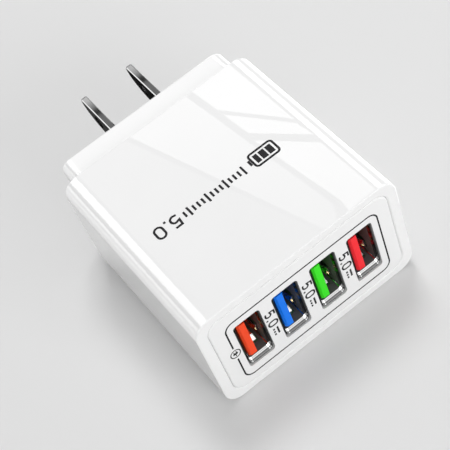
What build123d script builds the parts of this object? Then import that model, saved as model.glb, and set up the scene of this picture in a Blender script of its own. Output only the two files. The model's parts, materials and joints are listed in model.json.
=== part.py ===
from build123d import *
import os

# A four-port USB wall charger with two flat fixed blades.
#
# The charger lies on its large underside. +Y points out of the plug face along the blades, the four
# USB ports open towards -Y, +X runs along the row of ports and +Z is up. The origin is the middle of
# the bottom of the whole object's box, blades included. All sizes are millimetres.
#
# The casing is a deep white shell, closed at the back by a smaller plug cover and at the front by an
# inset port panel. Inside, one circuit board rides in rails and carries four upright USB sockets, the
# transformer and the rest of the power supply. The blades are trapped between the plug cover and a
# retainer plate, and touch two spring contacts that stand on the board.

# ---------------------------------------------------------------- driving dimensions
body_width = 49.6
body_height = 29.0
body_length = 49.8
long_edge_radius = 3.8
front_edge_radius = 0.3
rear_edge_radius = 0.25
wall = 1.8

cover_length = 6.5
cover_side_step = 3.1
cover_top_step = 1.1
cover_radius = 2.6
cover_edge_radius = 0.6
cover_back_wall = 2.0

blade_length = 18.0
blade_width = 6.35
blade_thickness = 1.5
blade_spacing = 12.7
blade_hole_radius = 1.6
blade_hole_from_face = 11.7
blade_z = 19.2

port_count = 4
port_pitch = 9.45
port_slot_width = 6.5
port_slot_height = 14.9
port_slot_radius = 0.8
port_z = 14.2

board_thickness = 1.6
board_bottom = 6.0

clearance = 0.05

# ---------------------------------------------------------------- places worked out from them
overall_length = body_length + cover_length + blade_length
front_y = -overall_length / 2
body_back_y = front_y + body_length
plug_face_y = body_back_y + cover_length
blade_tip_y = plug_face_y + blade_length
middle_z = body_height / 2

cavity_width = body_width - 2 * wall
cavity_height = body_height - 2 * wall
cavity_radius = long_edge_radius - wall
cavity_top = body_height - wall

front_wall = 3.2
panel_side_inset = 2.5
panel_top_inset = 2.1
panel_thickness = 1.5
panel_width = body_width - 2 * panel_side_inset
panel_height = body_height - 2 * panel_top_inset
panel_radius = 3.2
panel_groove = 0.42
panel_gap = 0.02
front_opening_width = 40.4
front_opening_height = 20.4
front_opening_radius = 1.5

board_top = board_bottom + board_thickness
board_width = cavity_width - 1.0
board_front_y = front_y + front_wall + 0.4
board_back_y = body_back_y - 1.35
board_length = board_back_y - board_front_y

port_xs = [port_pitch * (i - (port_count - 1) / 2) for i in range(port_count)]
blade_xs = {"left": -blade_spacing / 2, "right": blade_spacing / 2}


# ---------------------------------------------------------------- small helpers
def block(x0, x1, y0, y1, z0, z1):
    """A box between two corners."""
    return Pos((x0 + x1) / 2, (y0 + y1) / 2, (z0 + z1) / 2) * Box(x1 - x0, y1 - y0, z1 - z0)


def post(x, y, z0, z1, radius):
    """An upright cylinder."""
    return Pos(x, y, (z0 + z1) / 2) * Cylinder(radius, z1 - z0)


def rod_x(x0, x1, y, z, radius):
    """A cylinder that lies along X."""
    return Pos((x0 + x1) / 2, y, z) * Rot(0, 90, 0) * Cylinder(radius, x1 - x0)


def rod_y(x, y0, y1, z, radius):
    """A cylinder that lies along Y."""
    return Pos(x, (y0 + y1) / 2, z) * Rot(90, 0, 0) * Cylinder(radius, y1 - y0)


def section(width, height, radius, y, x=0.0, z=middle_z):
    """A rounded rectangle that faces along Y."""
    return Plane.XZ.offset(-y) * Pos(x, z) * RectangleRounded(width, height, radius)


def tube_bar(width, height, radius, y0, y1, x=0.0, z=middle_z):
    """A bar of rounded rectangular section along Y."""
    return extrude(section(width, height, radius, y0, x, z), amount=-(y1 - y0))


def outline_bar(points, x0, x1):
    """A plate with an outline of (y, z) points, from x0 to x1."""
    face = make_face(Polyline([(x0, y, z) for y, z in points], close=True))
    return extrude(face, amount=x1 - x0, dir=(1, 0, 0))


def edges_at_y(part, y):
    """The edges that lie wholly on one plane across Y."""
    return part.edges().filter_by_position(Axis.Y, y - 0.001, y + 0.001)


def save(name, *shapes):
    """Write the solids of the shapes as one named node."""
    solids = [solid for shape in shapes for solid in shape.solids()]
    whole = solids[0] if len(solids) == 1 else Compound(solids)
    export_step(whole, f"parts/{name}.step")


# ---------------------------------------------------------------- casing
rail_depth = 1.3
rail_thickness = 1.1
rail_gap = 0.1


def board_rails():
    """Two rails on each side wall, above and below the board's edge."""
    rails = []
    for side in (-1, 1):
        inner = side * (cavity_width / 2 - rail_depth)
        outer = side * (cavity_width / 2 + wall / 2)
        x0, x1 = sorted((inner, outer))
        low_top = board_bottom - rail_gap
        high_bottom = board_top + rail_gap
        y0 = front_y + front_wall - 0.5
        y1 = body_back_y - 6.0
        rails.append(block(x0, x1, y0, y1, low_top - rail_thickness, low_top))
        rails.append(block(x0, x1, y0, y1, high_bottom, high_bottom + rail_thickness))
    return rails


def housing():
    """The white shell: a deep cup, open at the back, with a stepped opening for the port panel."""
    outer = tube_bar(body_width, body_height, long_edge_radius, front_y, body_back_y)
    outer = fillet(edges_at_y(outer, front_y), front_edge_radius)
    outer = fillet(edges_at_y(outer, body_back_y), rear_edge_radius)
    cavity = tube_bar(cavity_width, cavity_height, cavity_radius,
                      front_y + front_wall, body_back_y + 1)
    pocket_back = front_y + panel_thickness + panel_gap
    pocket = tube_bar(panel_width + 2 * panel_gap, panel_height + 2 * panel_gap,
                      panel_radius + panel_gap, front_y - 1, pocket_back)
    opening = tube_bar(front_opening_width, front_opening_height, front_opening_radius,
                       front_y, front_y + front_wall + 1)
    shell = outer - cavity - pocket - opening
    for rail in board_rails():
        shell += rail
    pocket_rim = [edge for edge in edges_at_y(shell, front_y) if on_panel_rim(edge)]
    return fillet(pocket_rim, panel_groove)


def on_panel_rim(edge):
    """True for an edge of the panel's pocket, and not of the shell's own outer rim."""
    box = edge.bounding_box()
    limit_x = panel_width / 2 + 2 * panel_gap
    limit_z = panel_height / 2 + 2 * panel_gap
    reach_x = max(abs(box.min.X), abs(box.max.X))
    reach_z = max(abs(box.min.Z - middle_z), abs(box.max.Z - middle_z))
    return reach_x < limit_x and reach_z < limit_z


hook_width = 5.0
hook_thickness = 1.0
hook_barb = 0.5
hook_x = 11.0


def panel_hooks():
    """Four snap hooks that reach through the shell's front opening and catch behind it."""
    hooks = []
    root_y = front_y + panel_thickness - 0.3
    catch_y = front_y + front_wall + 0.05
    tip_y = catch_y + 1.1
    for side in (-1, 1):
        wall_z = middle_z + side * (front_opening_height / 2 - clearance)
        inner_z = wall_z - side * hook_thickness
        barb_z = wall_z + side * hook_barb
        points = [(root_y, inner_z), (tip_y, inner_z), (catch_y, barb_z),
                  (catch_y, wall_z), (root_y, wall_z)]
        for x in (-hook_x, hook_x):
            hooks.append(outline_bar(points, x - hook_width / 2, x + hook_width / 2))
    return hooks


def port_panel():
    """The inset front panel with the four port slots."""
    plate = tube_bar(panel_width, panel_height, panel_radius, front_y, front_y + panel_thickness)
    plate = fillet(edges_at_y(plate, front_y), panel_groove)
    for x in port_xs:
        slot = tube_bar(port_slot_width, port_slot_height, port_slot_radius,
                        front_y - 1, front_y + panel_thickness + 1, x, port_z)
        plate -= slot
    for hook in panel_hooks():
        plate += hook
    return plate


spigot_length = 4.0
spigot_wall = 1.5
spigot_web = 1.2
cover_side_wall = 1.5
retainer_thickness = 1.6
retainer_width = 40.0
retainer_height = 12.0
shoulder_depth = 1.5
stake_x = 14.5
stake_radius = 1.1
stake_head_radius = 1.9
stake_head = 0.9

cover_inner_y = plug_face_y - cover_back_wall
retainer_back_y = cover_inner_y - shoulder_depth
retainer_front_y = retainer_back_y - retainer_thickness


def cover_stakes():
    """Two pegs with melted heads, which hold the retainer against the cover."""
    stakes = []
    for x in (-stake_x, stake_x):
        head_y = retainer_front_y - clearance
        stakes.append(rod_y(x, head_y - stake_head / 2, cover_inner_y + 0.5, blade_z, stake_radius))
        stakes.append(rod_y(x, head_y - stake_head, head_y, blade_z, stake_head_radius))
        stakes.append(rod_y(x, retainer_back_y + clearance, cover_inner_y + 0.5,
                            blade_z, stake_head_radius))
    return stakes


def rear_cover():
    """The plug cover: a stepped cap with a spigot inside the shell and a slot for each blade."""
    width = body_width - 2 * cover_side_step
    height = body_height - 2 * cover_top_step
    cap = tube_bar(width, height, cover_radius, body_back_y, plug_face_y)
    cap = fillet(edges_at_y(cap, plug_face_y), cover_edge_radius)
    spigot_width = cavity_width - 2 * clearance
    spigot_height = cavity_height - 2 * clearance
    spigot = tube_bar(spigot_width, spigot_height, cavity_radius - clearance,
                      body_back_y - spigot_length, body_back_y)
    web_front_y = body_back_y - spigot_web
    hollow_height = spigot_height - 2 * spigot_wall
    hollow_radius = cavity_radius - spigot_wall
    front_hollow = tube_bar(spigot_width - 2 * spigot_wall, hollow_height, hollow_radius,
                            body_back_y - spigot_length - 1, web_front_y)
    back_hollow = tube_bar(width - 2 * cover_side_wall, hollow_height, hollow_radius,
                           web_front_y - 0.01, cover_inner_y)
    cover = cap + spigot - front_hollow - back_hollow
    for stake in cover_stakes():
        cover += stake
    for x in blade_xs.values():
        half_thickness = blade_thickness / 2 + clearance
        half_width = blade_width / 2 + clearance
        cover -= block(x - half_thickness, x + half_thickness, cover_inner_y - 0.1, plug_face_y + 1,
                       blade_z - half_width, blade_z + half_width)
    return cover


# ---------------------------------------------------------------- plug
shoulder_width = 8.6
tail_width = 3.2
tail_end_y = retainer_front_y - 2.4
tip_radius = 0.5
tip_sweep_length = 11.0
tip_sweep_height = 5.5
blade_chamfer = 0.2


def plug_blade(x):
    """One flat blade: swept tip, hole, a shoulder behind the cover and a narrow tail."""
    x0, x1 = x - blade_thickness / 2, x + blade_thickness / 2
    low, high = blade_z - blade_width / 2, blade_z + blade_width / 2
    shoulder_y = retainer_back_y + clearance
    blade = block(x0, x1, shoulder_y, blade_tip_y, low, high) - tip_cutter(x, low)
    blade = fillet(edges_at_y(blade, blade_tip_y).filter_by(Axis.X).sort_by(Axis.Z)[-1], tip_radius)
    blade = chamfer([edge for edge in blade.edges() if not_across(edge)], blade_chamfer)
    shoulder_half = shoulder_width / 2
    blade += block(x0, x1, shoulder_y, cover_inner_y - clearance,
                   blade_z - shoulder_half, blade_z + shoulder_half)
    blade += block(x0, x1, tail_end_y, shoulder_y + 0.5,
                   blade_z - tail_width / 2, blade_z + tail_width / 2)
    return blade - rod_x(x0 - 1, x1 + 1, plug_face_y + blade_hole_from_face, blade_z, blade_hole_radius)


def tip_cutter(x, low):
    """What is cut from a blade's lower tip corner, so that the edge sweeps up in a quarter ellipse."""
    reach = blade_thickness
    start_y, centre_z = blade_tip_y - tip_sweep_length, low + tip_sweep_height
    corner = block(x - reach, x + reach, start_y, blade_tip_y + 1, low - 1, centre_z)
    side_plane = Plane.YZ.offset(x - 2 * reach) * Pos(start_y, centre_z)
    sweep = side_plane * Ellipse(tip_sweep_length, tip_sweep_height)
    return corner - extrude(sweep, amount=4 * reach)


def not_across(edge):
    """True unless the edge runs straight across the blade's thickness."""
    return edge.bounding_box().size.X < blade_thickness / 2


def blade_retainer():
    """The plate that traps both blades' shoulders against the plug cover."""
    half_width, half_height = retainer_width / 2, retainer_height / 2
    plate = block(-half_width, half_width, retainer_front_y, retainer_back_y,
                  blade_z - half_height, blade_z + half_height)
    plate = fillet(plate.edges().filter_by(Axis.Y), 1.5)
    for x in blade_xs.values():
        slot_half = blade_thickness / 2 + clearance
        tail_half = tail_width / 2 + clearance
        plate -= block(x - slot_half, x + slot_half, retainer_front_y - 1, retainer_back_y + 1,
                       blade_z - tail_half, blade_z + tail_half)
    for x in (-stake_x, stake_x):
        plate -= rod_y(x, retainer_front_y - 1, retainer_back_y + 1, blade_z, stake_radius + clearance)
    return plate


contact_thickness = 0.4
contact_foot_y = board_back_y - 2.6


def ac_contact(side):
    """A flat spring that stands on the board and lies against one blade's tail."""
    outer_face = blade_spacing / 2 + blade_thickness / 2
    x0, x1 = outer_face, outer_face + contact_thickness
    low = blade_z - tail_width / 2
    high = blade_z + tail_width / 2
    foot_z = board_bottom - 1.0
    reach_y = tail_end_y + 1.9
    points = [
        (contact_foot_y, foot_z), (contact_foot_y + 1.4, foot_z), (contact_foot_y + 1.4, board_top + 0.8),
        (contact_foot_y + 2.3, board_top + 0.8), (contact_foot_y + 2.3, low), (reach_y, low),
        (reach_y, high), (contact_foot_y - 0.6, high), (contact_foot_y - 0.6, board_top + 0.8),
        (contact_foot_y, board_top + 0.8),
    ]
    spring = outline_bar(points, x0, x1)
    return spring if side > 0 else mirror(spring, about=Plane.YZ)


# ---------------------------------------------------------------- USB sockets
socket_mouth_y = front_y + 0.3
socket_depth = 14.0
socket_back_y = socket_mouth_y + socket_depth
sheet = 0.3
inner_width = 5.12
inner_height = 12.5
inner_radius = 0.6
lip_depth = 0.9
lip_rim = 0.14
lip_width_flare = 0.5
lip_height_flare = 1.5
tongue_thickness = 1.84
tongue_height = 11.1
tongue_back_gap = 0.4
tongue_front_y = front_y + 0.9
base_front_y = socket_mouth_y + 9.8
spring_root_y = socket_mouth_y + 9.6
spring_tip_y = socket_mouth_y + 3.6
spring_width = 2.0
spring_offset_z = 3.1
side_spring_x0, side_spring_x1 = -0.15, 1.25
side_spring_root = socket_mouth_y + 8.0
side_spring_crest = socket_mouth_y + 4.6
side_spring_tip = socket_mouth_y + 3.4
side_spring_rise = 0.9
tongue_bevel = 0.45
leg_width = 1.4
leg_reach = 0.9
pin_thickness = 0.3
pin_width = 1.0
pin_zs = [port_z + dz for dz in (3.5, 1.0, -1.0, -3.5)]
pin_step_y = 1.3

tongue_x0 = -inner_width / 2 + tongue_back_gap
tongue_x1 = tongue_x0 + tongue_thickness
leg_ys = [socket_mouth_y + 5.4, socket_mouth_y + 12.0]
pin_ys = [socket_back_y + 0.9 + i * pin_step_y for i in range(len(pin_zs))]


def lip_ring(x, grow, mouth_grow):
    """A flared mouth, set outwards from the socket's inner wall by one step deep in, another in front."""
    wide = section(inner_width + lip_width_flare + 2 * mouth_grow,
                   inner_height + lip_height_flare + 2 * mouth_grow,
                   inner_radius + grow + 0.2, socket_mouth_y, x, port_z)
    plain = section(inner_width + 2 * grow, inner_height + 2 * grow,
                    inner_radius + grow, socket_mouth_y + lip_depth, x, port_z)
    return loft([wide, plain])


def spring_finger(x, side, z):
    """A finger of one wide wall, bent inwards and out again at its tip."""
    face_x = side * inner_width / 2
    dip = 0.3 if side < 0 else 0.95
    inward = -side
    thick = sheet * side
    middle_y = spring_tip_y + 1.6
    path = [
        (face_x, spring_root_y + 0.4), (face_x, spring_root_y),
        (face_x + inward * dip, middle_y), (face_x + inward * dip * 0.35, spring_tip_y),
    ]
    outer = [(px + thick, py) for px, py in reversed(path)]
    points = [(x + px, py, z - spring_width / 2) for px, py in path + outer]
    face = make_face(Polyline(points, close=True))
    return extrude(face, amount=spring_width, dir=(0, 0, 1))


def side_spring(x, side):
    """A narrow finger of one short wall, bent into the socket and out again at its tip."""
    wall_z = port_z + side * inner_height / 2
    path = [
        (side_spring_root + 0.4, wall_z), (side_spring_root, wall_z),
        (side_spring_crest, wall_z - side * side_spring_rise),
        (side_spring_tip, wall_z - side * side_spring_rise * 0.3),
    ]
    outer = [(y, z + side * sheet) for y, z in reversed(path)]
    return outline_bar(path + outer, x + side_spring_x0, x + side_spring_x1)


def side_window(x, side):
    """What is cut from one short wall round its finger."""
    z0, z1 = sorted((port_z + side * (inner_height / 2 - 0.2), port_z + side * (inner_height / 2 + 0.5)))
    return block(x + side_spring_x0 - 0.3, x + side_spring_x1 + 0.3,
                 side_spring_tip - 0.4, side_spring_root, z0, z1)


def usb_shell(x):
    """The folded metal shell of one socket, with a flared mouth, six springs and four legs."""
    outer = tube_bar(inner_width + 2 * sheet, inner_height + 2 * sheet, inner_radius + sheet,
                     socket_mouth_y + lip_depth, socket_back_y, x, port_z)
    inner = tube_bar(inner_width, inner_height, inner_radius,
                     socket_mouth_y + lip_depth - 0.01, socket_back_y + 1, x, port_z)
    shell = outer + lip_ring(x, sheet, lip_rim) - inner - lip_ring(x, 0.0, 0.0)
    for side in (-1, 1):
        wall_x = x + side * (inner_width / 2 + sheet / 2)
        for dz in (-spring_offset_z, spring_offset_z):
            z = port_z + dz
            window_half = spring_width / 2 + 0.3
            shell -= block(wall_x - 0.4, wall_x + 0.4, spring_tip_y - 0.4, spring_root_y,
                           z - window_half, z + window_half)
            shell += spring_finger(x, side, z)
        shell = shell - side_window(x, side) + side_spring(x, side)
        for y in leg_ys:
            shell += block(wall_x - sheet / 2, wall_x + sheet / 2, y - leg_width / 2, y + leg_width / 2,
                           board_bottom - leg_reach, port_z - inner_height / 2 + 1.5)
    return shell


def usb_contacts(x):
    """The four contact strips: along the tongue, out of the back and down into the board."""
    face_x = x + tongue_x1
    strips = []
    for z, drop_y in zip(pin_zs, pin_ys):
        x0, x1 = face_x - pin_thickness + 0.12, face_x + 0.12
        z0, z1 = z - pin_width / 2, z + pin_width / 2
        along = block(x0, x1, tongue_front_y + 1.2, drop_y + pin_thickness / 2, z0, z1)
        down = block(x0, x1, drop_y - 0.35, drop_y + 0.35, board_bottom - leg_reach, z1)
        strips.append(along + down)
    return strips


def usb_insert(x):
    """The coloured moulding of one socket: a base that fills the shell's back, and the tongue."""
    gap = 0.03
    base = tube_bar(inner_width - 2 * gap, inner_height - 2 * gap, inner_radius - gap,
                    base_front_y, socket_back_y, x, port_z)
    half = tongue_height / 2
    tongue = block(x + tongue_x0, x + tongue_x1, tongue_front_y, base_front_y + 1,
                   port_z - half, port_z + half)
    outer_edge = edges_at_y(tongue, tongue_front_y).sort_by(Axis.X)[0]
    tongue = chamfer(outer_edge, tongue_bevel)
    insert = base + tongue
    for strip in usb_contacts(x):
        insert -= strip
    return insert


# ---------------------------------------------------------------- transformer
coil_x = 0.0
coil_y = -1.0
core_width = 19.0
core_depth = 6.0
yoke = 2.8
outer_leg = 2.6
centre_leg = 5.0
core_bottom = board_top + 0.4
window_bottom = core_bottom + yoke
window_height = 9.6
window_top = window_bottom + window_height
core_top = window_top + yoke
flange = 0.8
flange_width = 13.2
flange_depth = 14.0
bobbin_wall = 0.7
winding_width = 12.4
winding_depth = 13.0
coil_pin_xs = [-5.0, -1.7, 1.7, 5.0]
coil_pin_radius = 0.35


def centred_block(width, depth, z0, z1):
    """A box centred on the transformer."""
    return block(coil_x - width / 2, coil_x + width / 2, coil_y - depth / 2, coil_y + depth / 2, z0, z1)


def transformer_core():
    """Two E-shaped ferrite halves that meet at mid height."""
    middle = (core_bottom + core_top) / 2
    whole = centred_block(core_width, core_depth, core_bottom, core_top)
    window = (core_width - 2 * outer_leg - centre_leg) / 2
    for side in (-1, 1):
        x = coil_x + side * (centre_leg / 2 + window / 2)
        whole -= block(x - window / 2, x + window / 2, coil_y - core_depth, coil_y + core_depth,
                       window_bottom, window_top)
    lower = whole & centred_block(core_width + 2, core_depth + 2, core_bottom - 1, middle)
    upper = whole & centred_block(core_width + 2, core_depth + 2, middle, core_top + 1)
    return lower, upper


def transformer_bobbin():
    """The former: a square tube round the core's middle leg, two flanges and two pin rails."""
    gap = 0.05
    bore_width, bore_depth = centre_leg + 2 * gap, core_depth + 2 * gap
    low, high = window_bottom + gap, window_top - gap
    bobbin = centred_block(bore_width + 2 * bobbin_wall, bore_depth + 2 * bobbin_wall, low, high)
    bobbin += centred_block(flange_width, flange_depth, low, low + flange)
    bobbin += centred_block(flange_width, flange_depth, high - flange, high)
    for side in (-1, 1):
        y0, y1 = sorted((coil_y + side * (core_depth / 2 + 0.6), coil_y + side * (flange_depth / 2)))
        bobbin += block(coil_x - flange_width / 2, coil_x + flange_width / 2, y0, y1, board_top, low + 0.1)
    bobbin -= centred_block(bore_width, bore_depth, low - 1, high + 1)
    for pin in coil_pins():
        bobbin -= pin
    return bobbin


def coil_pins():
    """Two rows of four round pins."""
    pins = []
    for side in (-1, 1):
        for x in coil_pin_xs:
            pins.append(post(coil_x + x, coil_y + side * 5.4, board_bottom - 1.2, window_bottom - 0.6,
                             coil_pin_radius))
    return pins


def transformer_winding():
    """The taped windings, as one rounded ring round the former."""
    gap = 0.05
    low = window_bottom + gap + flange
    high = window_top - gap - flange
    ring = centred_block(winding_width, winding_depth, low, high)
    ring = fillet(ring.edges().filter_by(Axis.Z), 2.4)
    hollow_width = centre_leg + 2 * gap + 2 * bobbin_wall
    hollow_depth = core_depth + 2 * gap + 2 * bobbin_wall
    return ring - centred_block(hollow_width, hollow_depth, low - 1, high + 1)


# ---------------------------------------------------------------- parts on the board
lead_radius = 0.3
lead_end_z = board_bottom - 1.2

bulk_places = [(-16.2, 5.9), (-16.2, -4.6)]
bulk_radius = 5.0
bulk_height = 16.0
output_places = [(-18.2, -13.4), (-11.2, -13.4)]
output_radius = 3.15
output_height = 12.0
choke_place = (14.2, 6.6)
fuse_box = (-3.0, 3.0, 7.4, 11.2)
surge_place = (14.6, -4.2)
y_cap_place = (19.6, -13.4)
bridge_box = (18.4, 22.0, -6.0, 1.9)
opto_box = (10.9, 15.5, -16.6, -10.2)
heatsink_box = (-6.5, 9.0, -11.1, -10.1)


def capacitor_can(place, radius, height):
    """An electrolytic can with a pressed groove near its foot and a scored top."""
    x, y = place
    foot = board_top
    can = post(x, y, foot, foot + height, radius)
    can = fillet(can.edges().sort_by(Axis.Z)[-1], 0.5)
    groove = Pos(x, y, foot + 1.6) * Torus(radius + 0.25, 0.55)
    can -= groove
    for turn in (0, 90):
        can -= Pos(x, y, foot + height) * Rot(0, 0, turn) * Box(radius * 1.2, 0.3, 0.3)
    return can


def disc(place, radius, thickness):
    """A dipped disc that stands on edge, its flat sides facing X."""
    x, y = place
    low = board_top + 0.8
    body = rod_x(x - thickness / 2, x + thickness / 2, y, low + radius, radius)
    return fillet(body.edges(), thickness * 0.35)


def input_choke():
    """A drum inductor: a winding between two ferrite flanges, as three stacked discs."""
    x, y = choke_place
    low = board_top
    drum = post(x, y, low, low + 1.3, 4.0) + post(x, y, low, low + 10.0, 1.6)
    drum += post(x, y, low + 8.7, low + 10.0, 4.0)
    coil = post(x, y, low + 1.3, low + 8.7, 3.5) - post(x, y, low, low + 10, 1.6)
    return drum, coil


def fuse():
    """A square moulded micro fuse."""
    x0, x1, y0, y1 = fuse_box
    body = block(x0, x1, y0, y1, board_top + 0.2, board_top + 7.8)
    return fillet(body.edges().filter_by(Axis.Z), 0.6)


def bridge_rectifier():
    """A flat moulded rectifier that stands on edge, with one corner cut."""
    x0, x1, y0, y1 = bridge_box
    low, high = board_top + 1.2, board_top + 10.2
    points = [(y0, low), (y1, low), (y1, high), (y0 + 1.6, high), (y0, high - 1.6)]
    body = outline_bar(points, x0, x1)
    return body - rod_x(x0 - 1, x1 + 1, (y0 + y1) / 2, high - 3.0, 1.3)


def optocoupler():
    """A four-legged optocoupler package."""
    x0, x1, y0, y1 = opto_box
    body = block(x0, x1, y0 + 0.6, y1 - 0.6, board_top + 0.5, board_top + 3.9)
    body = chamfer(body.edges().group_by(Axis.Z)[-1], 0.4)
    return body - post(x0 + 1.0, y0 + 1.6, board_top + 3.6, board_top + 5, 0.4)


def output_heatsink():
    """A bent aluminium plate that the output rectifier leans on."""
    x0, x1, y0, y1 = heatsink_box
    upright = block(x0, x1, y0, y1, board_top + 0.3, cavity_top - 2.0)
    shelf = block(x0, x1, y0 - 4.2, y1, cavity_top - 3.0, cavity_top - 2.0)
    plate = upright + shelf
    screw_z = board_top + 12.6
    return plate - rod_y(1.0, y0 - 1, y1 + 1, screw_z, 1.6)


def output_rectifier():
    """A moulded power package with its metal tab bolted flat to the heatsink."""
    y1 = heatsink_box[2]
    low = board_top + 1.4
    tab = block(-4.0, 6.0, y1 - 1.2, y1, low, low + 14.2)
    tab -= rod_y(1.0, y1 - 3, y1 + 1, board_top + 12.6, 1.75)
    body = block(-4.0, 6.0, y1 - 4.2, y1 - 1.2, low, low + 8.6)
    body = chamfer(body.edges().group_by(Axis.Y)[0], 0.5)
    return tab, body


def rectifier_screw():
    """The pan-head screw that clamps the rectifier's tab to the heatsink."""
    y1 = heatsink_box[2]
    z = board_top + 12.6
    head_y = y1 - 1.2
    head = rod_y(1.0, head_y - 1.6, head_y, z, 2.6)
    head = fillet(edges_at_y(head, head_y - 1.6), 0.7)
    shank = rod_y(1.0, head_y, heatsink_box[3] + 1.0, z, 1.5)
    screw = head + shank
    for turn in (0, 90):
        screw -= Pos(1.0, head_y - 1.6, z) * Rot(0, turn, 0) * Box(2.8, 1.2, 0.6)
    return screw


def lead_places():
    """(x, y) of every round lead that passes through the board, part by part."""
    places = []
    for x, y in bulk_places:
        places += [(x, y - 2.5), (x, y + 2.5)]
    for x, y in output_places:
        places += [(x, y - 1.25), (x, y + 1.25)]
    x, y = choke_place
    places += [(x - 2.5, y), (x + 2.5, y)]
    x0, x1, y0, y1 = fuse_box
    places += [(x0 + 0.9, (y0 + y1) / 2), (x1 - 0.9, (y0 + y1) / 2)]
    x, y = surge_place
    places += [(x, y - 2.5), (x, y + 2.5)]
    x, y = y_cap_place
    places += [(x, y - 2.5), (x, y + 2.5)]
    x0, x1, y0, y1 = bridge_box
    places += [((x0 + x1) / 2, y0 + 1.1 + i * 1.9) for i in range(4)]
    x0, x1, y0, y1 = opto_box
    places += [(x0 + 1.1, y0 + 0.3), (x0 + 3.5, y0 + 0.3), (x0 + 1.1, y1 - 0.3), (x0 + 3.5, y1 - 0.3)]
    places += [(1.0 + dx, heatsink_box[2] - 2.4) for dx in (-2.54, 0.0, 2.54)]
    return places


def lead_top(x, y):
    """How high a lead reaches: up to the foot of the part that it belongs to."""
    stand_off = {
        surge_place: 0.8 + 0.35, y_cap_place: 0.8 + 0.35,
    }
    for place, height in stand_off.items():
        if abs(place[0] - x) < 0.1 and abs(place[1] - y) < 3:
            return board_top + height
    x0, x1, y0, y1 = bridge_box
    if x0 < x < x1 and y0 < y < y1:
        return board_top + 1.2
    x0, x1, y0, y1 = opto_box
    if x0 < x < x1 and (abs(y - y0 - 0.3) < 0.1 or abs(y - y1 + 0.3) < 0.1):
        return board_top + 2.2
    if abs(y - heatsink_box[2] + 2.4) < 0.1:
        return board_top + 1.4
    x0, x1, y0, y1 = fuse_box
    if x0 < x < x1 and y0 < y < y1:
        return board_top + 0.2
    return board_top


def component_leads():
    """Every round lead as its own pin, from below the board up to its part."""
    return [post(x, y, lead_end_z, lead_top(x, y), lead_radius) for x, y in lead_places()]


# ---------------------------------------------------------------- board
hole_gap = 0.12
board_neck_width = 42.0
chip_places = [(-9.0, -2.0), (9.5, -3.0)]
port_chip_y = -19.6


def board_slots():
    """The cut-outs for the sockets' legs and pins and for the blade contacts."""
    cuts = []
    for x in port_xs:
        for side in (-1, 1):
            wall_x = x + side * (inner_width / 2 + sheet / 2)
            for y in leg_ys:
                half_x, half_y = sheet / 2 + hole_gap, leg_width / 2 + hole_gap
                cuts.append(block(wall_x - half_x, wall_x + half_x, y - half_y, y + half_y,
                                  board_bottom - 1, board_top + 1))
        pin_x = x + tongue_x1 - pin_thickness / 2 + 0.12
        for y in pin_ys:
            cuts.append(post(pin_x, y, board_bottom - 1, board_top + 1, 0.5))
    outer_face = blade_spacing / 2 + blade_thickness / 2 + contact_thickness / 2
    for side in (-1, 1):
        cuts.append(block(side * outer_face - 0.35, side * outer_face + 0.35,
                          contact_foot_y - 0.15, contact_foot_y + 1.55, board_bottom - 1, board_top + 1))
    return cuts


def main_board():
    """The circuit board, with a hole for every lead, pin and leg."""
    half = board_width / 2
    board = block(-half, half, board_front_y, board_back_y, board_bottom, board_top)
    neck_half = board_neck_width / 2
    for side in (-1, 1):
        x0, x1 = sorted((side * neck_half, side * (half + 1)))
        board -= block(x0, x1, body_back_y - spigot_length - 0.4, board_back_y + 1, board_bottom, board_top)
    board = fillet(board.edges().filter_by(Axis.Z), 0.5)
    for cut in board_slots():
        board -= cut
    for x, y in lead_places():
        board -= post(x, y, board_bottom - 1, board_top + 1, lead_radius + hole_gap)
    for pin in coil_pins():
        x, y = pin.center().X, pin.center().Y
        board -= post(x, y, board_bottom - 1, board_top + 1, coil_pin_radius + hole_gap)
    return board


def controller_chips():
    """Two eight-legged control chips and one small port chip per socket, under the board."""
    chips = []
    for x, y in chip_places:
        body = block(x - 1.95, x + 1.95, y - 2.45, y + 2.45, board_bottom - 1.55, board_bottom)
        chips.append(chamfer(body.edges().group_by(Axis.Z)[0], 0.3))
    for x in port_xs:
        chips.append(block(x - 3.9, x - 2.3, port_chip_y - 1.45, port_chip_y + 1.45,
                           board_bottom - 1.1, board_bottom))
    return chips


def smd_passives():
    """Rows of small surface-mount resistors and capacitors under the board."""
    chips = []
    half_x, half_y, height = 0.62, 1.0, 0.55
    rows = [(-19.6 + 2.6 * i, -9.2) for i in range(4)] + [(10.4 + 2.6 * i, -8.0) for i in range(4)]
    rows += [(-1.3 + 2.6 * i, 6.6) for i in range(2)] + [(-3.9 + 2.6 * i, -1.0) for i in range(4)]
    for x, y in rows:
        chips.append(block(x - half_x, x + half_x, y - half_y, y + half_y,
                           board_bottom - height, board_bottom))
    return chips


def insulation_sheet():
    """A thin fibre sheet on the floor of the shell, under the board's solder side."""
    half = cavity_width / 2 - cavity_radius
    return block(-half, half, board_front_y, body_back_y - spigot_length - 0.5, wall, wall + 0.3)


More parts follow.
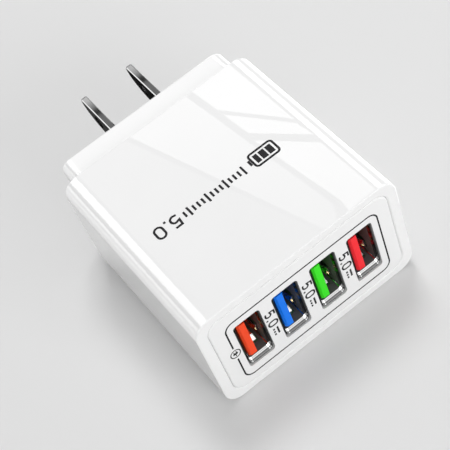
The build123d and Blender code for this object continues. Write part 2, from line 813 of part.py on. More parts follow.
# ---------------------------------------------------------------- write every node
def main():
    os.makedirs("parts", exist_ok=True)
    save("housing", housing())
    save("port_panel", port_panel())
    save("rear_cover", rear_cover())
    save("blade_retainer", blade_retainer())
    for side, x in blade_xs.items():
        save(f"plug_blade_{side}", plug_blade(x))
        save(f"ac_contact_{side}", ac_contact(x))
    for number, x in enumerate(port_xs, start=1):
        save(f"usb_shell_{number}", usb_shell(x))
        save(f"usb_insert_{number}", usb_insert(x))
        save(f"usb_contacts_{number}", *usb_contacts(x))
    save("main_board", main_board())
    save("insulation_sheet", insulation_sheet())
    save("transformer_core", *transformer_core())
    save("transformer_bobbin", transformer_bobbin())
    save("transformer_winding", transformer_winding())
    save("transformer_pins", *coil_pins())
    for number, place in enumerate(bulk_places, start=1):
        save(f"bulk_capacitor_{number}", capacitor_can(place, bulk_radius, bulk_height))
    for number, place in enumerate(output_places, start=1):
        save(f"output_capacitor_{number}", capacitor_can(place, output_radius, output_height))
    drum, coil = input_choke()
    save("choke_core", drum)
    save("choke_winding", coil)
    save("fuse", fuse())
    save("surge_disc", disc(surge_place, 4.0, 4.0))
    save("safety_capacitor", disc(y_cap_place, 4.0, 3.6))
    save("bridge_rectifier", bridge_rectifier())
    save("optocoupler", optocoupler())
    save("output_heatsink", output_heatsink())
    tab, package = output_rectifier()
    save("rectifier_tab", tab)
    save("rectifier_body", package)
    save("rectifier_screw", rectifier_screw())
    save("controller_chips", *controller_chips())
    save("smd_passives", *smd_passives())
    save("component_leads", *component_leads())


main()
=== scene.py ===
import json
import math

import bmesh
import bpy
from mathutils import Matrix, Vector


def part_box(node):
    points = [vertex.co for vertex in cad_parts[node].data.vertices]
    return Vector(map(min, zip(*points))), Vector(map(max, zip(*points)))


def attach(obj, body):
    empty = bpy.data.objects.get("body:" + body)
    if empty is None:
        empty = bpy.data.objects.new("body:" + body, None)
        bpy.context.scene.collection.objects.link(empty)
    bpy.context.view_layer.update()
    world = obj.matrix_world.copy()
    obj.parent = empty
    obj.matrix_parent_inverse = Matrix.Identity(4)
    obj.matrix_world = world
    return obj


# Looks for a four-port USB wall charger. Everything is in metres, in the CAD's own frame: +Y runs
# out along the blades, the sockets open towards -Y, and the printed face is up.

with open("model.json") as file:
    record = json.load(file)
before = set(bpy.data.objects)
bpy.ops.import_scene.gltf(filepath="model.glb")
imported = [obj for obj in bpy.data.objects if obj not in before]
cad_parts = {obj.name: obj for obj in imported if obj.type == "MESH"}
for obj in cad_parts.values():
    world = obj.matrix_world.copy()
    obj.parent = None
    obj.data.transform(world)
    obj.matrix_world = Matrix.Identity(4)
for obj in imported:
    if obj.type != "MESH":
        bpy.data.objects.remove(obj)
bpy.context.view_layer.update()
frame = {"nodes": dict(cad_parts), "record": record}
record = frame["record"]
nodes = frame["nodes"]

MM = 0.001
PORTS = ("1", "2", "3", "4")
slot_colour = {m["slot"]: tuple(m["base_color"][:3]) for m in record["materials"]}
slot_of = {s["node"]: s["material_slot"] for s in record["subparts"]}


# ---------------------------------------------------------------- node-tree helpers
class Shader:
    """A material's node tree with short calls for the nodes used here."""

    def __init__(self, name):
        self.material = bpy.data.materials.new(name)
        self.material.use_nodes = True
        self.tree = self.material.node_tree
        self.bsdf = self.tree.nodes["Principled BSDF"]
        self.coords = self.add("ShaderNodeTexCoord").outputs["Object"]

    def add(self, kind, **settings):
        node = self.tree.nodes.new(kind)
        for key, value in settings.items():
            setattr(node, key, value)
        return node

    def link(self, source, target):
        self.tree.links.new(source, target)

    def set(self, **values):
        """Constants on the shader's own sockets, such as set(Metallic=1.0)."""
        for key, value in values.items():
            self.bsdf.inputs[key.replace("_", " ")].default_value = value

    def stretched(self, scale):
        """Object coordinates, stretched differently along each axis."""
        mapping = self.add("ShaderNodeMapping")
        mapping.inputs["Scale"].default_value = scale
        self.link(self.coords, mapping.inputs["Vector"])
        return mapping.outputs["Vector"]

    def noise(self, scale, detail=2.0, roughness=0.5, vector=None):
        node = self.add("ShaderNodeTexNoise")
        node.inputs["Scale"].default_value = scale
        node.inputs["Detail"].default_value = detail
        node.inputs["Roughness"].default_value = roughness
        self.link(vector or self.coords, node.inputs["Vector"])
        return node.outputs["Fac"]

    def ramp(self, fac, stops):
        """A colour ramp. Each stop is (position, grey) or (position, (r, g, b))."""
        node = self.add("ShaderNodeValToRGB")
        elements = node.color_ramp.elements
        while len(elements) < len(stops):
            elements.new(0.5)
        for element, (position, value) in zip(elements, stops):
            rgb = value if isinstance(value, tuple) else (value,) * 3
            element.position = position
            element.color = (*rgb, 1.0)
        self.link(fac, node.inputs["Fac"])
        return node.outputs["Color"]

    def spread(self, fac, low, high):
        """A factor near its middle spread over a range from low to high."""
        node = self.add("ShaderNodeMapRange")
        node.inputs["From Min"].default_value = 0.3
        node.inputs["From Max"].default_value = 0.7
        node.inputs["To Min"].default_value = low
        node.inputs["To Max"].default_value = high
        self.link(fac, node.inputs["Value"])
        return node.outputs["Result"]

    def bump(self, height, distance, strength=1.0, under=None):
        node = self.add("ShaderNodeBump")
        node.inputs["Distance"].default_value = distance
        node.inputs["Strength"].default_value = strength
        self.link(height, node.inputs["Height"])
        if under is not None:
            self.link(under, node.inputs["Normal"])
        return node.outputs["Normal"]

    def calc(self, operation, *values):
        """One Math node. Each value is a socket or a number."""
        node = self.add("ShaderNodeMath", operation=operation)
        for slot, value in zip(node.inputs, values):
            if isinstance(value, (int, float)):
                slot.default_value = value
            else:
                self.link(value, slot)
        return node.outputs["Value"]

    def between(self, value, low, high):
        """0 below low and 1 above high, with a straight rise between them."""
        node = self.add("ShaderNodeMapRange")
        node.inputs["From Min"].default_value = low
        node.inputs["From Max"].default_value = high
        self.link(value, node.inputs["Value"])
        return node.outputs["Result"]

    def mix(self, fac, first, second_rgb):
        """A colour socket mixed towards a plain colour."""
        node = self.add("ShaderNodeMix", data_type="RGBA")
        node.inputs[7].default_value = (*second_rgb, 1.0)
        self.link(fac, node.inputs[0])
        self.link(first, node.inputs[6])
        return node.outputs[2]

    def colour(self, socket):
        self.link(socket, self.bsdf.inputs["Base Color"])

    def roughness(self, socket):
        self.link(socket, self.bsdf.inputs["Roughness"])

    def normal(self, socket):
        self.link(socket, self.bsdf.inputs["Normal"])


def shade(colour, factor):
    return tuple(min(1.0, c * factor) for c in colour)


# ---------------------------------------------------------------- materials
def glossy_moulding(name, colour, variation=0.03, rough=(0.004, 0.012), texture=0.00000005, shine=0.5):
    """Smooth moulded plastic: faint clouding, handling smudges in the gloss, and a slight ripple."""
    s = Shader(name)
    cloud = s.noise(90.0, 3.0)
    s.colour(s.ramp(cloud, [(0.35, shade(colour, 1 - variation)), (0.65, colour)]))
    smudges = s.noise(160.0, 4.0, 0.6)
    s.roughness(s.spread(smudges, *rough))
    s.normal(s.bump(s.noise(2200.0, 2.0), texture))
    s.set(IOR=1.5, Specular_IOR_Level=shine)
    return s.material


def matte_moulding(name, colour, rough=(0.45, 0.62)):
    """Spark-textured plastic or moulded epoxy with a fine even grain."""
    s = Shader(name)
    s.colour(s.ramp(s.noise(400.0, 3.0), [(0.35, shade(colour, 0.85)), (0.65, shade(colour, 1.12))]))
    s.roughness(s.spread(s.noise(900.0, 3.0), *rough))
    s.normal(s.bump(s.noise(5200.0, 2.0), 0.00002, 0.6))
    return s.material


def metal(name, colour, rough, grain, scratch=0.000006, glancing=0.9):
    """Drawn or rolled metal. The grain is the stretch of its marks along X, Y and Z."""
    s = Shader(name)
    s.set(Metallic=1.0, Specular_Tint=(glancing, glancing, glancing, 1.0))
    marks = s.noise(1.0, 5.0, 0.6, s.stretched(grain))
    tarnish = s.noise(260.0, 3.0)
    s.colour(s.ramp(tarnish, [(0.3, shade(colour, 0.82)), (0.7, colour)]))
    s.roughness(s.spread(marks, *rough))
    s.normal(s.bump(marks, scratch))
    return s.material


# A socket's metal colour by its depth behind the mouth, as shares of SOCKET_RAMP_DEPTH, painted with
# light and shade: a grey rolled rim with painted shade at its edge, two painted highlight bands with a
# fine painted dark line between them, then walls painted dark as shade.
SOCKET_RAMP_DEPTH = 0.002
SOCKET_PAINTED_LIGHT_TONES = [
    (0.0, 0.06), (0.03, 0.24), (0.17, 0.09), (0.20, 0.04), (0.23, 0.60), (0.30, 0.60),
    (0.32, 0.12), (0.34, 0.58), (0.42, 0.58), (0.45, 0.04), (0.52, 0.10),
]
POLISHED_SHARE = 0.46
SPRING_HALF_WIDTH, SPRING_HALF_HEIGHT = 0.00248, 0.00618
DULL_ROUGHNESS = 0.35


def socket_metal(name, spring):
    """Nickel at a socket's mouth and on its springs, with painted highlight bands and painted shade
    lines, and walls painted dark as shade and made dull further in.
    """
    s = Shader(name)
    s.set(Specular_Tint=(0.6, 0.6, 0.6, 1.0))
    axes = s.add("ShaderNodeSeparateXYZ")
    s.link(s.coords, axes.inputs["Vector"])
    depth = s.between(axes.outputs["Y"], MOUTH_Y, MOUTH_Y + SOCKET_RAMP_DEPTH)
    # Painted light: the depth ramp paints highlight bands and dark shade lines at the mouth, and painted
    # shade on the walls further in.
    painted_light_tones = s.ramp(depth, SOCKET_PAINTED_LIGHT_TONES)
    sideways = s.calc("WRAP", axes.outputs["X"], PORT_X + PORT_PITCH / 2, PORT_X - PORT_PITCH / 2)
    off_middle = s.calc("ABSOLUTE", s.calc("SUBTRACT", sideways, PORT_X))
    height = s.calc("ABSOLUTE", s.calc("SUBTRACT", axes.outputs["Z"], PORT_Z))
    sprung = s.calc("MULTIPLY", s.calc("LESS_THAN", off_middle, SPRING_HALF_WIDTH),
                    s.calc("LESS_THAN", height, SPRING_HALF_HEIGHT))
    s.colour(s.mix(sprung, painted_light_tones, (spring,) * 3))
    bright = s.calc("MAXIMUM", s.calc("LESS_THAN", depth, POLISHED_SHARE), sprung)
    s.link(bright, s.bsdf.inputs["Metallic"])
    marks = s.noise(1.0, 3.0, 0.5, s.stretched(ALONG_SOCKET))
    dull = s.calc("MULTIPLY", s.calc("SUBTRACT", 1.0, bright), DULL_ROUGHNESS)
    s.roughness(s.calc("ADD", s.spread(marks, 0.08, 0.14), dull))
    s.normal(s.bump(marks, 0.0000005))
    return s.material


def board_laminate(name, colour):
    """Green solder mask with a hint of the copper routes under it."""
    s = Shader(name)
    routes = s.add("ShaderNodeTexVoronoi", feature="DISTANCE_TO_EDGE", distance="MANHATTAN")
    routes.inputs["Scale"].default_value = 420.0
    s.link(s.coords, routes.inputs["Vector"])
    s.colour(s.ramp(routes.outputs["Distance"], [(0.08, shade(colour, 1.7)), (0.13, colour)]))
    s.roughness(s.spread(s.noise(500.0), 0.3, 0.45))
    s.normal(s.bump(routes.outputs["Distance"], 0.00002, 0.4))
    return s.material


def pressed_fibre(name, colour):
    s = Shader(name)
    strands = s.noise(1.0, 6.0, 0.7, s.stretched((900.0, 3800.0, 900.0)))
    s.colour(s.ramp(strands, [(0.3, shade(colour, 0.75)), (0.7, shade(colour, 1.1))]))
    s.roughness(s.spread(strands, 0.7, 0.9))
    s.normal(s.bump(strands, 0.00005, 0.5))
    return s.material


def wound_tape(name, colour):
    """Layers of film tape round the windings: fine level lines and a satin film."""
    s = Shader(name)
    lines = s.add("ShaderNodeTexWave", bands_direction="Z", wave_profile="SAW")
    lines.inputs["Scale"].default_value = 260.0
    lines.inputs["Distortion"].default_value = 0.4
    s.link(s.coords, lines.inputs["Vector"])
    s.colour(s.ramp(lines.outputs["Fac"], [(0.1, shade(colour, 0.7)), (0.4, colour)]))
    s.roughness(s.spread(s.noise(700.0), 0.25, 0.4))
    s.normal(s.bump(lines.outputs["Fac"], 0.00004, 0.6))
    return s.material


def wire_turns(name, colour):
    s = Shader(name)
    turns = s.add("ShaderNodeTexWave", bands_direction="Z", wave_profile="SIN")
    turns.inputs["Scale"].default_value = 700.0
    s.link(s.coords, turns.inputs["Vector"])
    s.set(Metallic=0.7)
    s.colour(s.ramp(turns.outputs["Fac"], [(0.1, shade(colour, 0.45)), (0.6, colour)]))
    s.roughness(s.spread(s.noise(900.0), 0.25, 0.4))
    s.normal(s.bump(turns.outputs["Fac"], 0.00015, 1.0))
    return s.material


def print_ink(name, colour):
    """Pad-printed ink: nearly black, slightly uneven, with a soft sheen."""
    s = Shader(name)
    s.colour(s.ramp(s.noise(1500.0, 3.0), [(0.35, shade(colour, 0.8)), (0.65, shade(colour, 1.3))]))
    s.roughness(s.spread(s.noise(2500.0), 0.3, 0.45))
    s.set(Specular_IOR_Level=0.12)
    return s.material


shell_boxes = [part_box(f"usb_shell_{n}") for n in PORTS]
insert_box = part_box("usb_insert_1")
PORT_X = (shell_boxes[0][0].x + shell_boxes[0][1].x) / 2
PORT_PITCH = (shell_boxes[3][0].x - shell_boxes[0][0].x) / 3
PORT_Z = (insert_box[0].z + insert_box[1].z) / 2
MOUTH_Y = shell_boxes[0][0].y
ALONG_BLADE = (5200.0, 120.0, 5200.0)
ALONG_SOCKET = (2600.0, 200.0, 2600.0)
NO_GRAIN = (1400.0, 1400.0, 1400.0)

makers = {
    "casing": lambda n, c: glossy_moulding(n, (0.84, 0.84, 0.84), 0.01),
    "panel": lambda n, c: glossy_moulding(n, (0.83, 0.83, 0.83), 0.01),
    "blade_metal": lambda n, c: metal(n, (0.26, 0.26, 0.26), (0.03, 0.05), ALONG_BLADE, 0.0000001, 0.12),
    "retainer": matte_moulding,
    "contact_spring": lambda n, c: metal(n, c, (0.2, 0.35), NO_GRAIN),
    "socket_metal": lambda n, c: socket_metal(n, 0.85),
    "contact_gold": lambda n, c: metal(n, c, (0.15, 0.3), NO_GRAIN),
    "board": board_laminate,
    "fibre_sheet": pressed_fibre,
    "ferrite": lambda n, c: matte_moulding(n, c, (0.3, 0.5)),
    "former": matte_moulding,
    "tape": wound_tape,
    "enamel_wire": wire_turns,
    "tinned": lambda n, c: metal(n, c, (0.2, 0.35), NO_GRAIN),
    "can_sleeve": lambda n, c: glossy_moulding(n, c, 0.2, (0.2, 0.35)),
    "surge_coat": lambda n, c: glossy_moulding(n, c, 0.15, (0.25, 0.4), 0.00006),
    "safety_coat": lambda n, c: glossy_moulding(n, c, 0.15, (0.25, 0.4), 0.00006),
    "package": matte_moulding,
    "fuse_case": matte_moulding,
    "sink": lambda n, c: metal(n, c, (0.25, 0.4), (400.0, 400.0, 3000.0)),
    "screw": lambda n, c: metal(n, c, (0.2, 0.35), NO_GRAIN),
}
INSERT_COLOURS = {
    "insert_orange": (0.92, 0.068, 0.014),
    "insert_blue": (0.004, 0.19, 0.88),
    "insert_green": (0.040, 0.78, 0.014),
    "insert_red": (0.95, 0.024, 0.034),
}
for slot_name, rgb in INSERT_COLOURS.items():
    makers[slot_name] = lambda n, c, rgb=rgb: glossy_moulding(n, rgb, 0.04, (0.28, 0.4), shine=0.15)

materials = {slot: makers[slot](slot, slot_colour[slot]) for slot in slot_colour}
for name, node in nodes.items():
    node.data.materials.clear()
    node.data.materials.append(materials[slot_of[name]])
ink = print_ink("print_ink", (0.006, 0.006, 0.007))


# ---------------------------------------------------------------- printed marks
# Marks are drawn in a flat (u, v) plane in millimetres, given a little thickness and laid on a face.
INK_THICKNESS = 0.012


def arc_points(cx, cy, radius, start, end, steps=12):
    """Points along an arc, with the angles in degrees."""
    angles = [math.radians(start + (end - start) * i / steps) for i in range(steps + 1)]
    return [(cx + radius * math.cos(a), cy + radius * math.sin(a)) for a in angles]


def stroke(points, width, closed=False):
    """The quads of a line of even width, mitred at its corners."""
    count = len(points)
    sides = []
    for i, (x, y) in enumerate(points):
        before = points[i - 1] if (closed or i > 0) else None
        after = points[(i + 1) % count] if (closed or i < count - 1) else None
        into = Vector((x - before[0], y - before[1])).normalized() if before else None
        out = Vector((after[0] - x, after[1] - y)).normalized() if after else None
        into, out = into or out, out or into
        along = (into + out).normalized()
        across = Vector((-along.y, along.x))
        reach = width / 2 / max(0.4, across.dot(Vector((-into.y, into.x))))
        sides.append(((x + across.x * reach, y + across.y * reach),
                      (x - across.x * reach, y - across.y * reach)))
    last = count if closed else count - 1
    return [(sides[i][0], sides[(i + 1) % count][0], sides[(i + 1) % count][1], sides[i][1])
            for i in range(last)]


def ring(cx, cy, radius, width, start=0.0, end=360.0):
    whole = end - start >= 360.0
    points = arc_points(cx, cy, radius, start, end, max(8, int((end - start) / 7)))
    return stroke(points[:-1] if whole else points, width, whole)


def bar(x0, y0, x1, y1):
    return [((x0, y0), (x1, y0), (x1, y1), (x0, y1))]


def rounded_path(x0, y0, x1, y1, radius):
    """The closed outline of a rounded rectangle, anticlockwise from its lower right corner."""
    return (arc_points(x1 - radius, y0 + radius, radius, -90, 0, 8)
            + arc_points(x1 - radius, y1 - radius, radius, 0, 90, 8)
            + arc_points(x0 + radius, y1 - radius, radius, 90, 180, 8)
            + arc_points(x0 + radius, y0 + radius, radius, 180, 270, 8))


def moved(quads, dx, dy, turn=0.0, size=1.0):
    """The same polygons, sized, turned about their origin in degrees, and shifted."""
    c, s = math.cos(math.radians(turn)) * size, math.sin(math.radians(turn)) * size
    return [tuple((dx + x * c - y * s, dy + x * s + y * c) for x, y in quad) for quad in quads]


def printed(name, quads, place):
    """A piece of ink. place maps a (u, v, height) point in millimetres to the row frame."""
    mesh = bmesh.new()
    rounded = [[(round(u, 5), round(v, 5)) for u, v in quad] for quad in quads]
    sides = [frozenset(pair) for quad in rounded for pair in zip(quad, quad[1:] + quad[:1])]
    for quad in rounded:
        low = [mesh.verts.new(place @ Vector((u, v, -INK_THICKNESS))) for u, v in quad]
        high = [mesh.verts.new(place @ Vector((u, v, INK_THICKNESS))) for u, v in quad]
        mesh.faces.new(high)
        mesh.faces.new(list(reversed(low)))
        for i in range(len(quad)):
            j = (i + 1) % len(quad)
            if sides.count(frozenset((quad[i], quad[j]))) == 1:
                mesh.faces.new((low[i], low[j], high[j], high[i]))
    bmesh.ops.remove_doubles(mesh, verts=mesh.verts, dist=1e-8)
    bmesh.ops.recalc_face_normals(mesh, faces=mesh.faces)
    data = bpy.data.meshes.new(name)
    mesh.to_mesh(data)
    mesh.free()
    data.materials.append(ink)
    piece = bpy.data.objects.new(name, data)
    bpy.context.scene.collection.objects.link(piece)
    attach(piece, "root")
    return piece


def digit(character, height, width, line):
    """A plain round-shouldered 0 or 5, its origin at its lower left corner."""
    if character == "0":
        return stroke(rounded_path(0, 0, width, height, width * 0.48), line, True)
    bowl = height * 0.31
    flag = [(width, height), (width * 0.12, height), (width * 0.04, height * 0.52)]
    turn = arc_points(width - bowl, bowl, bowl, 80, -90, 10)
    return stroke(flag + turn + [(width * 0.02, height * 0.06)], line)


def direct_current_sign(width, line):
    """A full line over three short ones, its origin at the middle."""
    gap = line * 1.6
    dash = width * 0.24
    marks = bar(-width / 2, gap - line, width / 2, gap)
    for centre in (-width / 2 + dash / 2, 0.0, width / 2 - dash / 2):
        marks += bar(centre - dash / 2, -gap, centre + dash / 2, -gap + line)
    return marks


panel_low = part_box("port_panel")[0]
housing_low, housing_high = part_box("housing")
PANEL_FACE = Matrix(((MM, 0, 0, 0), (0, 0, -MM, panel_low.y), (0, MM, 0, 0), (0, 0, 0, 1)))
TOP_FACE = Matrix(((MM, 0, 0, 0), (0, MM, 0, housing_low.y), (0, 0, MM, housing_high.z), (0, 0, 0, 1)))

# The fine frame round the four sockets, broken on one side for a small round sign.
FRAME_X, FRAME_LOW, FRAME_HIGH, FRAME_RADIUS, FRAME_LINE = 19.0, 4.4, 23.5, 2.0, 0.36
SIGN_Z, SIGN_RADIUS = 14.1, 1.15
frame_path = rounded_path(-FRAME_X, FRAME_LOW, FRAME_X, FRAME_HIGH, FRAME_RADIUS)
split = next(i for i in range(len(frame_path)) if frame_path[i][0] < -FRAME_X + 0.001
             and frame_path[i][1] < SIGN_Z < frame_path[i - 1][1])
sign_gap = SIGN_RADIUS + 0.75
open_path = ([(-FRAME_X, SIGN_Z - sign_gap)] + frame_path[split:] + frame_path[:split]
             + [(-FRAME_X, SIGN_Z + sign_gap)])
printed("print_frame", stroke(open_path, FRAME_LINE), PANEL_FACE)

sign = ring(0, 0, SIGN_RADIUS, 0.24)
sign += bar(-0.55, -0.25, 0.55, 0.30) + bar(-0.38, 0.30, -0.18, 0.72) + bar(0.18, 0.30, 0.38, 0.72)
sign += bar(-0.10, -0.85, 0.10, -0.25)
printed("print_sign", moved(sign, -FRAME_X, SIGN_Z), PANEL_FACE)

# A rating between each two sockets, read downwards with its top towards +X.
LABEL_HEIGHT, LABEL_LINE = 2.1, 0.40
label = digit("5", LABEL_HEIGHT, 1.35, LABEL_LINE)
label += bar(2.05, -0.2, 2.5, 0.26)
label += moved(digit("0", LABEL_HEIGHT, 1.45, LABEL_LINE), 3.2, 0)
label += moved(direct_current_sign(2.3, LABEL_LINE), 6.9, LABEL_HEIGHT / 2)
label = moved(label, -4.05, -LABEL_HEIGHT / 2)
for index in range(len(PORTS) - 1):
    centre_x = (shell_boxes[index][1].x + shell_boxes[index + 1][0].x) / 2 / MM
    printed(f"print_rating_{index + 1}", moved(label, centre_x + 0.1, 14.4, -90), PANEL_FACE)

# A battery sign and a row of level marks on the large face, read from the plug's side.
ICON_X, ICON_Y = 10.4, 24.2
battery = stroke(rounded_path(-3.3, -1.9, 2.7, 1.9, 0.7), 0.52, True)
battery += bar(3.0, -0.8, 3.55, 0.8)
battery += bar(-2.6, -1.2, -1.2, 1.2) + bar(-0.85, -1.2, 0.55, 1.2) + bar(0.9, -1.2, 2.0, 1.2)
printed("print_battery", moved(battery, ICON_X, ICON_Y, 180), TOP_FACE)

TICKS, TICK_PITCH, TICK_WIDTH, TICK_SHORT, TICK_TALL = 14, 1.15, 0.5, 1.6, 2.6
TOP_LINE, TOP_DIGIT_HEIGHT = 0.52, 3.0
marks = []
for step in range(TICKS):
    tall = TICK_TALL if step % 4 == 0 else TICK_SHORT
    marks += bar(step * TICK_PITCH, -tall / 2, step * TICK_PITCH + TICK_WIDTH, tall / 2)
marks += moved(digit("5", TOP_DIGIT_HEIGHT, 1.8, TOP_LINE), 16.6, -TOP_DIGIT_HEIGHT / 2)
marks += bar(19.15, -1.76, 19.7, -1.2)
marks += moved(digit("0", TOP_DIGIT_HEIGHT, 1.9, TOP_LINE), 20.5, -TOP_DIGIT_HEIGHT / 2)
printed("print_levels", moved(marks, 5.4, 23.8, 180), TOP_FACE)


# ---------------------------------------------------------------- floor and reflectors
def stage_sheet(name, corners, material):
    """A flat polygon that isn't part of the object."""
    data = bpy.data.meshes.new(name)
    data.from_pydata([tuple(c) for c in corners], [], [tuple(range(len(corners)))])
    data.materials.append(material)
    sheet = bpy.data.objects.new(name, data)
    bpy.context.scene.collection.objects.link(sheet)
    return sheet


def floor_paint():
    s = Shader("floor_paint")
    grey = 0.72
    s.colour(s.ramp(s.noise(6.0, 2.0), [(0.3, grey * 0.985), (0.7, grey)]))
    s.roughness(s.spread(s.noise(30.0), 0.85, 0.95))
    s.set(Specular_IOR_Level=0.1)
    return s.material


FLOOR = 3.0
stage_sheet("floor", [(-FLOOR, -FLOOR, 0), (FLOOR, -FLOOR, 0), (FLOOR, FLOOR, 0), (-FLOOR, FLOOR, 0)],
            floor_paint())

# ---------------------------------------------------------------- camera
CAMERA_AT = Vector((-0.05258, -0.17945, 0.23487))
AZIMUTH, ELEVATION, ROLL = (math.radians(a) for a in (-16.59, 51.33, -24.13))
back = Vector((math.sin(AZIMUTH) * math.cos(ELEVATION), -math.cos(AZIMUTH) * math.cos(ELEVATION),
               math.sin(ELEVATION)))
level_right = (-back).cross(Vector((0, 0, 1))).normalized()
level_up = level_right.cross(-back)
right = level_right * math.cos(ROLL) + level_up * math.sin(ROLL)
up = level_up * math.cos(ROLL) - level_right * math.sin(ROLL)

camera_data = bpy.data.cameras.new("camera")
camera_data.sensor_width = 36.0
camera_data.lens = 107.3
camera_data.clip_start, camera_data.clip_end = 0.01, 20.0
camera = bpy.data.objects.new("camera", camera_data)
camera.matrix_world = Matrix.Translation(CAMERA_AT) @ Matrix((right, up, back)).transposed().to_4x4()
bpy.context.scene.collection.objects.link(camera)
bpy.context.scene.camera = camera


# ---------------------------------------------------------------- light
POWER = {"world": 0.6, "key": 1.75, "front_fill": 2.1}


def area_light(name, place, aim, width, height):
    data = bpy.data.lights.new(name, "AREA")
    data.shape, data.size, data.size_y, data.energy = "RECTANGLE", width, height, POWER[name]
    light = bpy.data.objects.new(name, data)
    light.location = place
    light.rotation_mode = "QUATERNION"
    light.rotation_quaternion = (Vector(aim) - Vector(place)).to_track_quat("-Z", "Y")
    bpy.context.scene.collection.objects.link(light)
    return light


def glow(name, strength):
    s = Shader(name)
    s.set(Base_Color=(0, 0, 0, 1), Emission_Color=(1, 1, 1, 1), Emission_Strength=strength)
    return s.material


def fading_glow(name, low, high, axis="X"):
    """A glow that changes along one axis between two (place, strength) points."""
    s = Shader(name)
    axes = s.add("ShaderNodeSeparateXYZ")
    s.link(s.coords, axes.inputs["Vector"])
    fade = s.add("ShaderNodeMapRange")
    fade.inputs["From Min"].default_value, fade.inputs["To Min"].default_value = low
    fade.inputs["From Max"].default_value, fade.inputs["To Max"].default_value = high
    s.link(axes.outputs[axis], fade.inputs["Value"])
    s.set(Base_Color=(0, 0, 0, 1), Emission_Color=(1, 1, 1, 1))
    s.link(fade.outputs["Result"], s.bsdf.inputs["Emission Strength"])
    return s.material


# Window-like panes, seen only as reflections in the top faces. Each is given by where its reflection
# falls on the face, in millimetres, and by how bright it is at its far and near ends.
PANE_HEIGHT = 0.16
PANES = {
    "pane_rear": (3.1, 3.0, [(10.0, 12.5), (20.2, 12.5), (20.5, -10.4), (10.9, 3.8)]),
    "pane_middle": (3.1, 3.1, [(11.0, 1.9), (20.2, -11.8), (20.8, -16.9), (11.6, -6.2)]),
    "pane_front": (3.1, 2.6, [(11.3, -8.6), (20.5, -19.6), (20.6, -36.8), (13.7, -36.8), (14.2, -34.4)]),
    "pane_wide": (2.5, 1.4, [(8.3, 12.5), (-6.6, 12.5), (7.7, -36.8), (10.7, -36.8),
                             (12.6, -33.7), (10.1, -6.7)]),
    "pane_left": (1.3, 0.62, [(-7.9, 12.5), (6.7, -36.8), (-20.3, -36.8), (-20.3, 12.5)]),
}
COVER_PANE = (2.6, [(-21.0, 12.9), (20.0, 12.9), (20.0, 18.9), (-21.0, 18.9)])


def mirrored_up(point_mm, face_z):
    """Where the line from the camera, reflected in a level face at a point, meets the panes' height."""
    below = Vector((CAMERA_AT.x, CAMERA_AT.y, 2 * face_z - CAMERA_AT.z))
    on_face = Vector((point_mm[0] * MM, point_mm[1] * MM, face_z))
    reach = (PANE_HEIGHT - below.z) / (on_face.z - below.z)
    return below + (on_face - below) * reach


def only_reflected(sheet):
    sheet.visible_camera = sheet.visible_diffuse = sheet.visible_shadow = False


# Long cards beside the body, which its rounded long edges reflect as lengthwise streaks. Each is given
# by its strength, its side, and the angles from straight up between which it is seen from the edge.
STREAK_REACH = 0.6
STREAKS = {
    "streak_left_high": (5.0, -1, -3.4, 39.4),
    "streak_left_low": (4.0, -1, 64.0, 84.0),
    "streak_right_high": (5.0, 1, 27.0, 58.0),
    "streak_right_low": (2.2, 1, 86.0, 150.0),
}
STREAK_DISTANCE = 0.2
STREAK_STEP = 6
EDGE_INSET, EDGE_DROP, FLOOR_GAP = 0.0015, 0.001, 0.0005


def streak_card(name, strength, side, start, end, shader=None):
    """A card round the body's long edge, along Y, as a fan of flat facets at one distance."""
    edge_x = side * (housing_high.x - EDGE_INSET)
    edge_z = housing_high.z - EDGE_DROP
    steps = max(2, int((end - start) / STREAK_STEP))
    line = []
    for i in range(steps + 1):
        angle = math.radians(start + (end - start) * i / steps)
        out, rise = math.sin(angle), math.cos(angle)
        reach = STREAK_DISTANCE
        if rise < 0:
            reach = min(reach, (edge_z - FLOOR_GAP) / -rise)
        line.append((edge_x + side * out * reach, edge_z + rise * reach))
    points = [(x, y, z) for x, z in line for y in (-STREAK_REACH, STREAK_REACH)]
    faces = [(2 * i, 2 * i + 1, 2 * i + 3, 2 * i + 2) for i in range(steps)]
    data = bpy.data.meshes.new(name)
    data.from_pydata(points, [], faces)
    data.materials.append(shader or glow(name, strength))
    card = bpy.data.objects.new(name, data)
    bpy.context.scene.collection.objects.link(card)
    only_reflected(card)


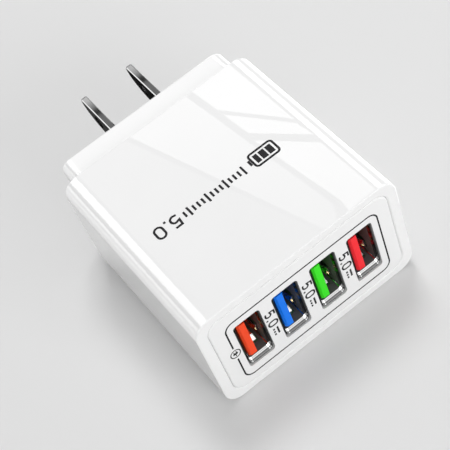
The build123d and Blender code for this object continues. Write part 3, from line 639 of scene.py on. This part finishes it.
area_light("key", (0.16, 0.23, 0.62), (0, 0, 0), 0.22, 0.22).visible_glossy = False
area_light("front_fill", (0.12, -0.7, 0.22), (0, 0, 0.01), 0.4, 0.4).visible_glossy = False
for pane_name, (rear_strength, front_strength, outline) in PANES.items():
    corners = [mirrored_up(p, housing_high.z) for p in outline]
    ends = min(c.y for c in corners), max(c.y for c in corners)
    only_reflected(stage_sheet(pane_name, corners, fading_glow(
        pane_name, (ends[0], front_strength), (ends[1], rear_strength), "Y")))
cover_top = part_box("rear_cover")[1].z
only_reflected(stage_sheet("pane_cover", [mirrored_up(p, cover_top) for p in COVER_PANE[1]],
                           glow("pane_cover", COVER_PANE[0])))
for streak_name, settings in STREAKS.items():
    streak_card(streak_name, *settings)

# A card over the front, which the sockets' lips and springs and the rim of the port panel reflect.
FRONT_CARD = [(-0.12, -0.36, 0.20), (0.30, -0.36, 0.20), (0.30, -0.13, 0.36), (-0.12, -0.13, 0.36)]
only_reflected(stage_sheet("card_front", FRONT_CARD, glow("card_front", 1.25)))

# Over the blades: bright towards their tips, dark in the middle, and nothing over their roots.
BLADE_CARD_LENGTH, BLADE_CARD_MARGIN = 7.2, 0.5
BLADE_FADE = (0.2, 0.0), (0.75, 2.2)
blade_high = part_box("plug_blade_left")[1]
blade_far_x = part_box("plug_blade_right")[1].x / MM + 1.0
tip_y = blade_high.y / MM
card_y = tip_y - BLADE_CARD_LENGTH, tip_y + BLADE_CARD_MARGIN
blade_card = [(-blade_far_x, card_y[0]), (blade_far_x, card_y[0]),
              (blade_far_x, card_y[1]), (-blade_far_x, card_y[1])]
blade_card_points = [mirrored_up(p, blade_high.z) for p in blade_card]
near_y, far_y = blade_card_points[0].y, blade_card_points[2].y
dark_end, bright_end = [(near_y + share * (far_y - near_y), level) for share, level in BLADE_FADE]
only_reflected(stage_sheet("card_blades", blade_card_points,
                           fading_glow("card_blades", dark_end, bright_end, "Y")))
# A wash low on the left, brighter away from the body.
streak_card("wash_left", 0.0, -1, 87.0, 151.0, fading_glow("wash_left", (-0.11, 2.6), (-0.036, 1.2)))

world = bpy.data.worlds.new("studio")
world.use_nodes = True
world.node_tree.nodes["Background"].inputs["Color"].default_value = (1.0, 1.0, 1.0, 1.0)
world.node_tree.nodes["Background"].inputs["Strength"].default_value = POWER["world"]
bpy.context.scene.world = world
bpy.context.scene.view_settings.view_transform = "Standard"
